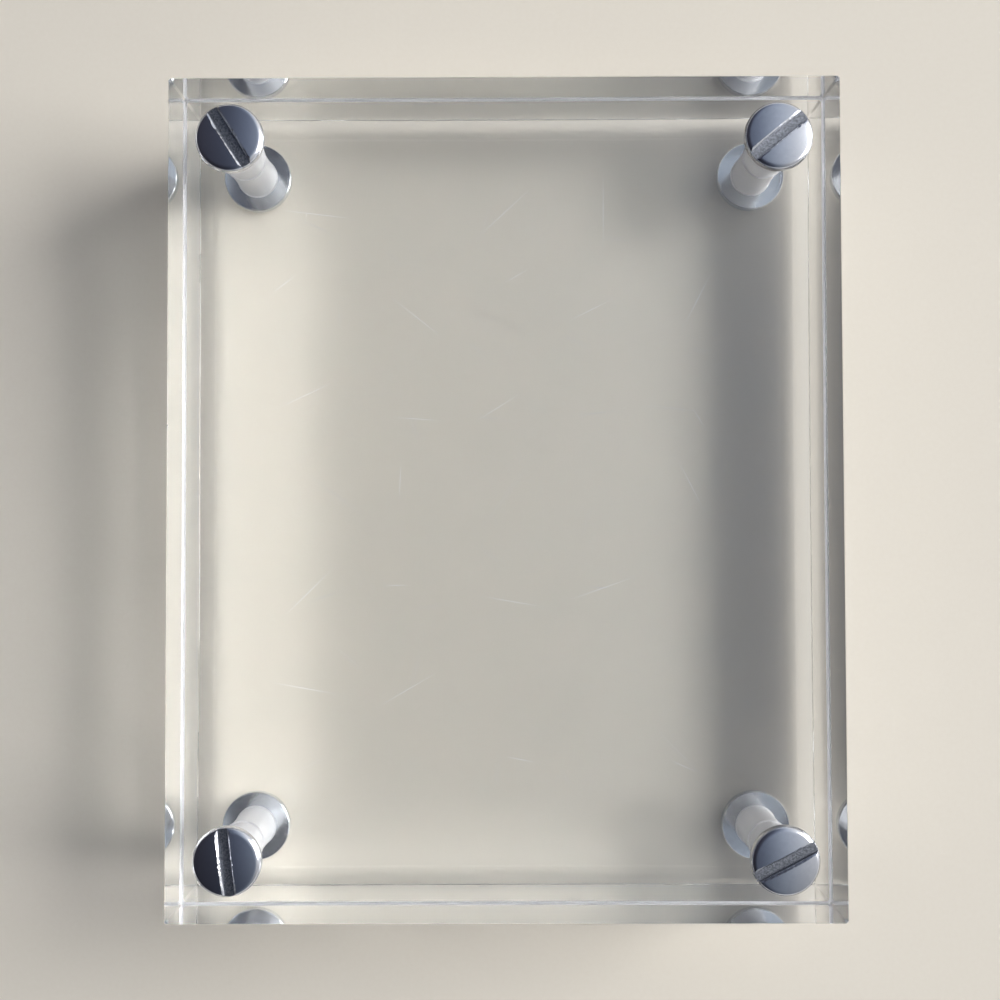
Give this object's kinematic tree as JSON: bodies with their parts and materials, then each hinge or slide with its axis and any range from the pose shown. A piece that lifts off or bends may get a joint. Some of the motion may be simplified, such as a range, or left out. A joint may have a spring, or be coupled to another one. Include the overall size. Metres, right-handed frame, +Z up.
{
  "type": "screwdown card holder",
  "caption": "Two thick clear acrylic plates clamped together at the corners by slotted screws in flanged threaded posts, to hold and show a flat card.",
  "frame": {"origin": "under the middle of the holder, on the surface that the four post flanges stand on", "axes": "+X across the width to the right in the picture, +Y along the length towards the top of the picture, +Z up through the plates to the screw heads"},
  "size_m": [0.1016, 0.127, 0.0297],
  "materials": {
    "clear_acrylic": "clear cast acrylic, polished faces and edges",
    "screw_aluminium": "turned and polished, worn slot",
    "post_aluminium": "turned, satin"
  },
  "bodies": {
    "base": {"bottom_plate": "clear_acrylic", "post_back_left": "post_aluminium", "post_back_right": "post_aluminium", "post_front_left": "post_aluminium", "post_front_right": "post_aluminium"},
    "top_plate": {"top_plate": "clear_acrylic"},
    "screw_back_left": {"screw_back_left": "screw_aluminium"},
    "screw_back_right": {"screw_back_right": "screw_aluminium"},
    "screw_front_left": {"screw_front_left": "screw_aluminium"},
    "screw_front_right": {"screw_front_right": "screw_aluminium"}
  },
  "joints": [
    {"name": "plate_lift", "type": "slide", "parent": "base", "child": "top_plate", "axis": [0, 0, 1], "range_m": [0, 0.0087]},
    {"name": "turn_back_left", "type": "hinge", "parent": "top_plate", "child": "screw_back_left", "pos_m": [-0.04127, 0.05398, 0.0279], "axis": [0, 0, 1], "range_deg": [0, 3960]},
    {"name": "turn_back_right", "type": "hinge", "parent": "top_plate", "child": "screw_back_right", "pos_m": [0.04127, 0.05398, 0.0279], "axis": [0, 0, 1], "range_deg": [0, 3960]},
    {"name": "turn_front_left", "type": "hinge", "parent": "top_plate", "child": "screw_front_left", "pos_m": [-0.04127, -0.05398, 0.0279], "axis": [0, 0, 1], "range_deg": [0, 3960]},
    {"name": "turn_front_right", "type": "hinge", "parent": "top_plate", "child": "screw_front_right", "pos_m": [0.04127, -0.05398, 0.0279], "axis": [0, 0, 1], "range_deg": [0, 3960]}
  ],
  "couplings": [
    {"joint": "turn_back_left", "follows": "plate_lift", "rad_per_m": 7915.8},
    {"joint": "turn_back_right", "follows": "plate_lift", "rad_per_m": 7915.8},
    {"joint": "turn_front_left", "follows": "plate_lift", "rad_per_m": 7915.8},
    {"joint": "turn_front_right", "follows": "plate_lift", "rad_per_m": 7915.8}
  ]
}
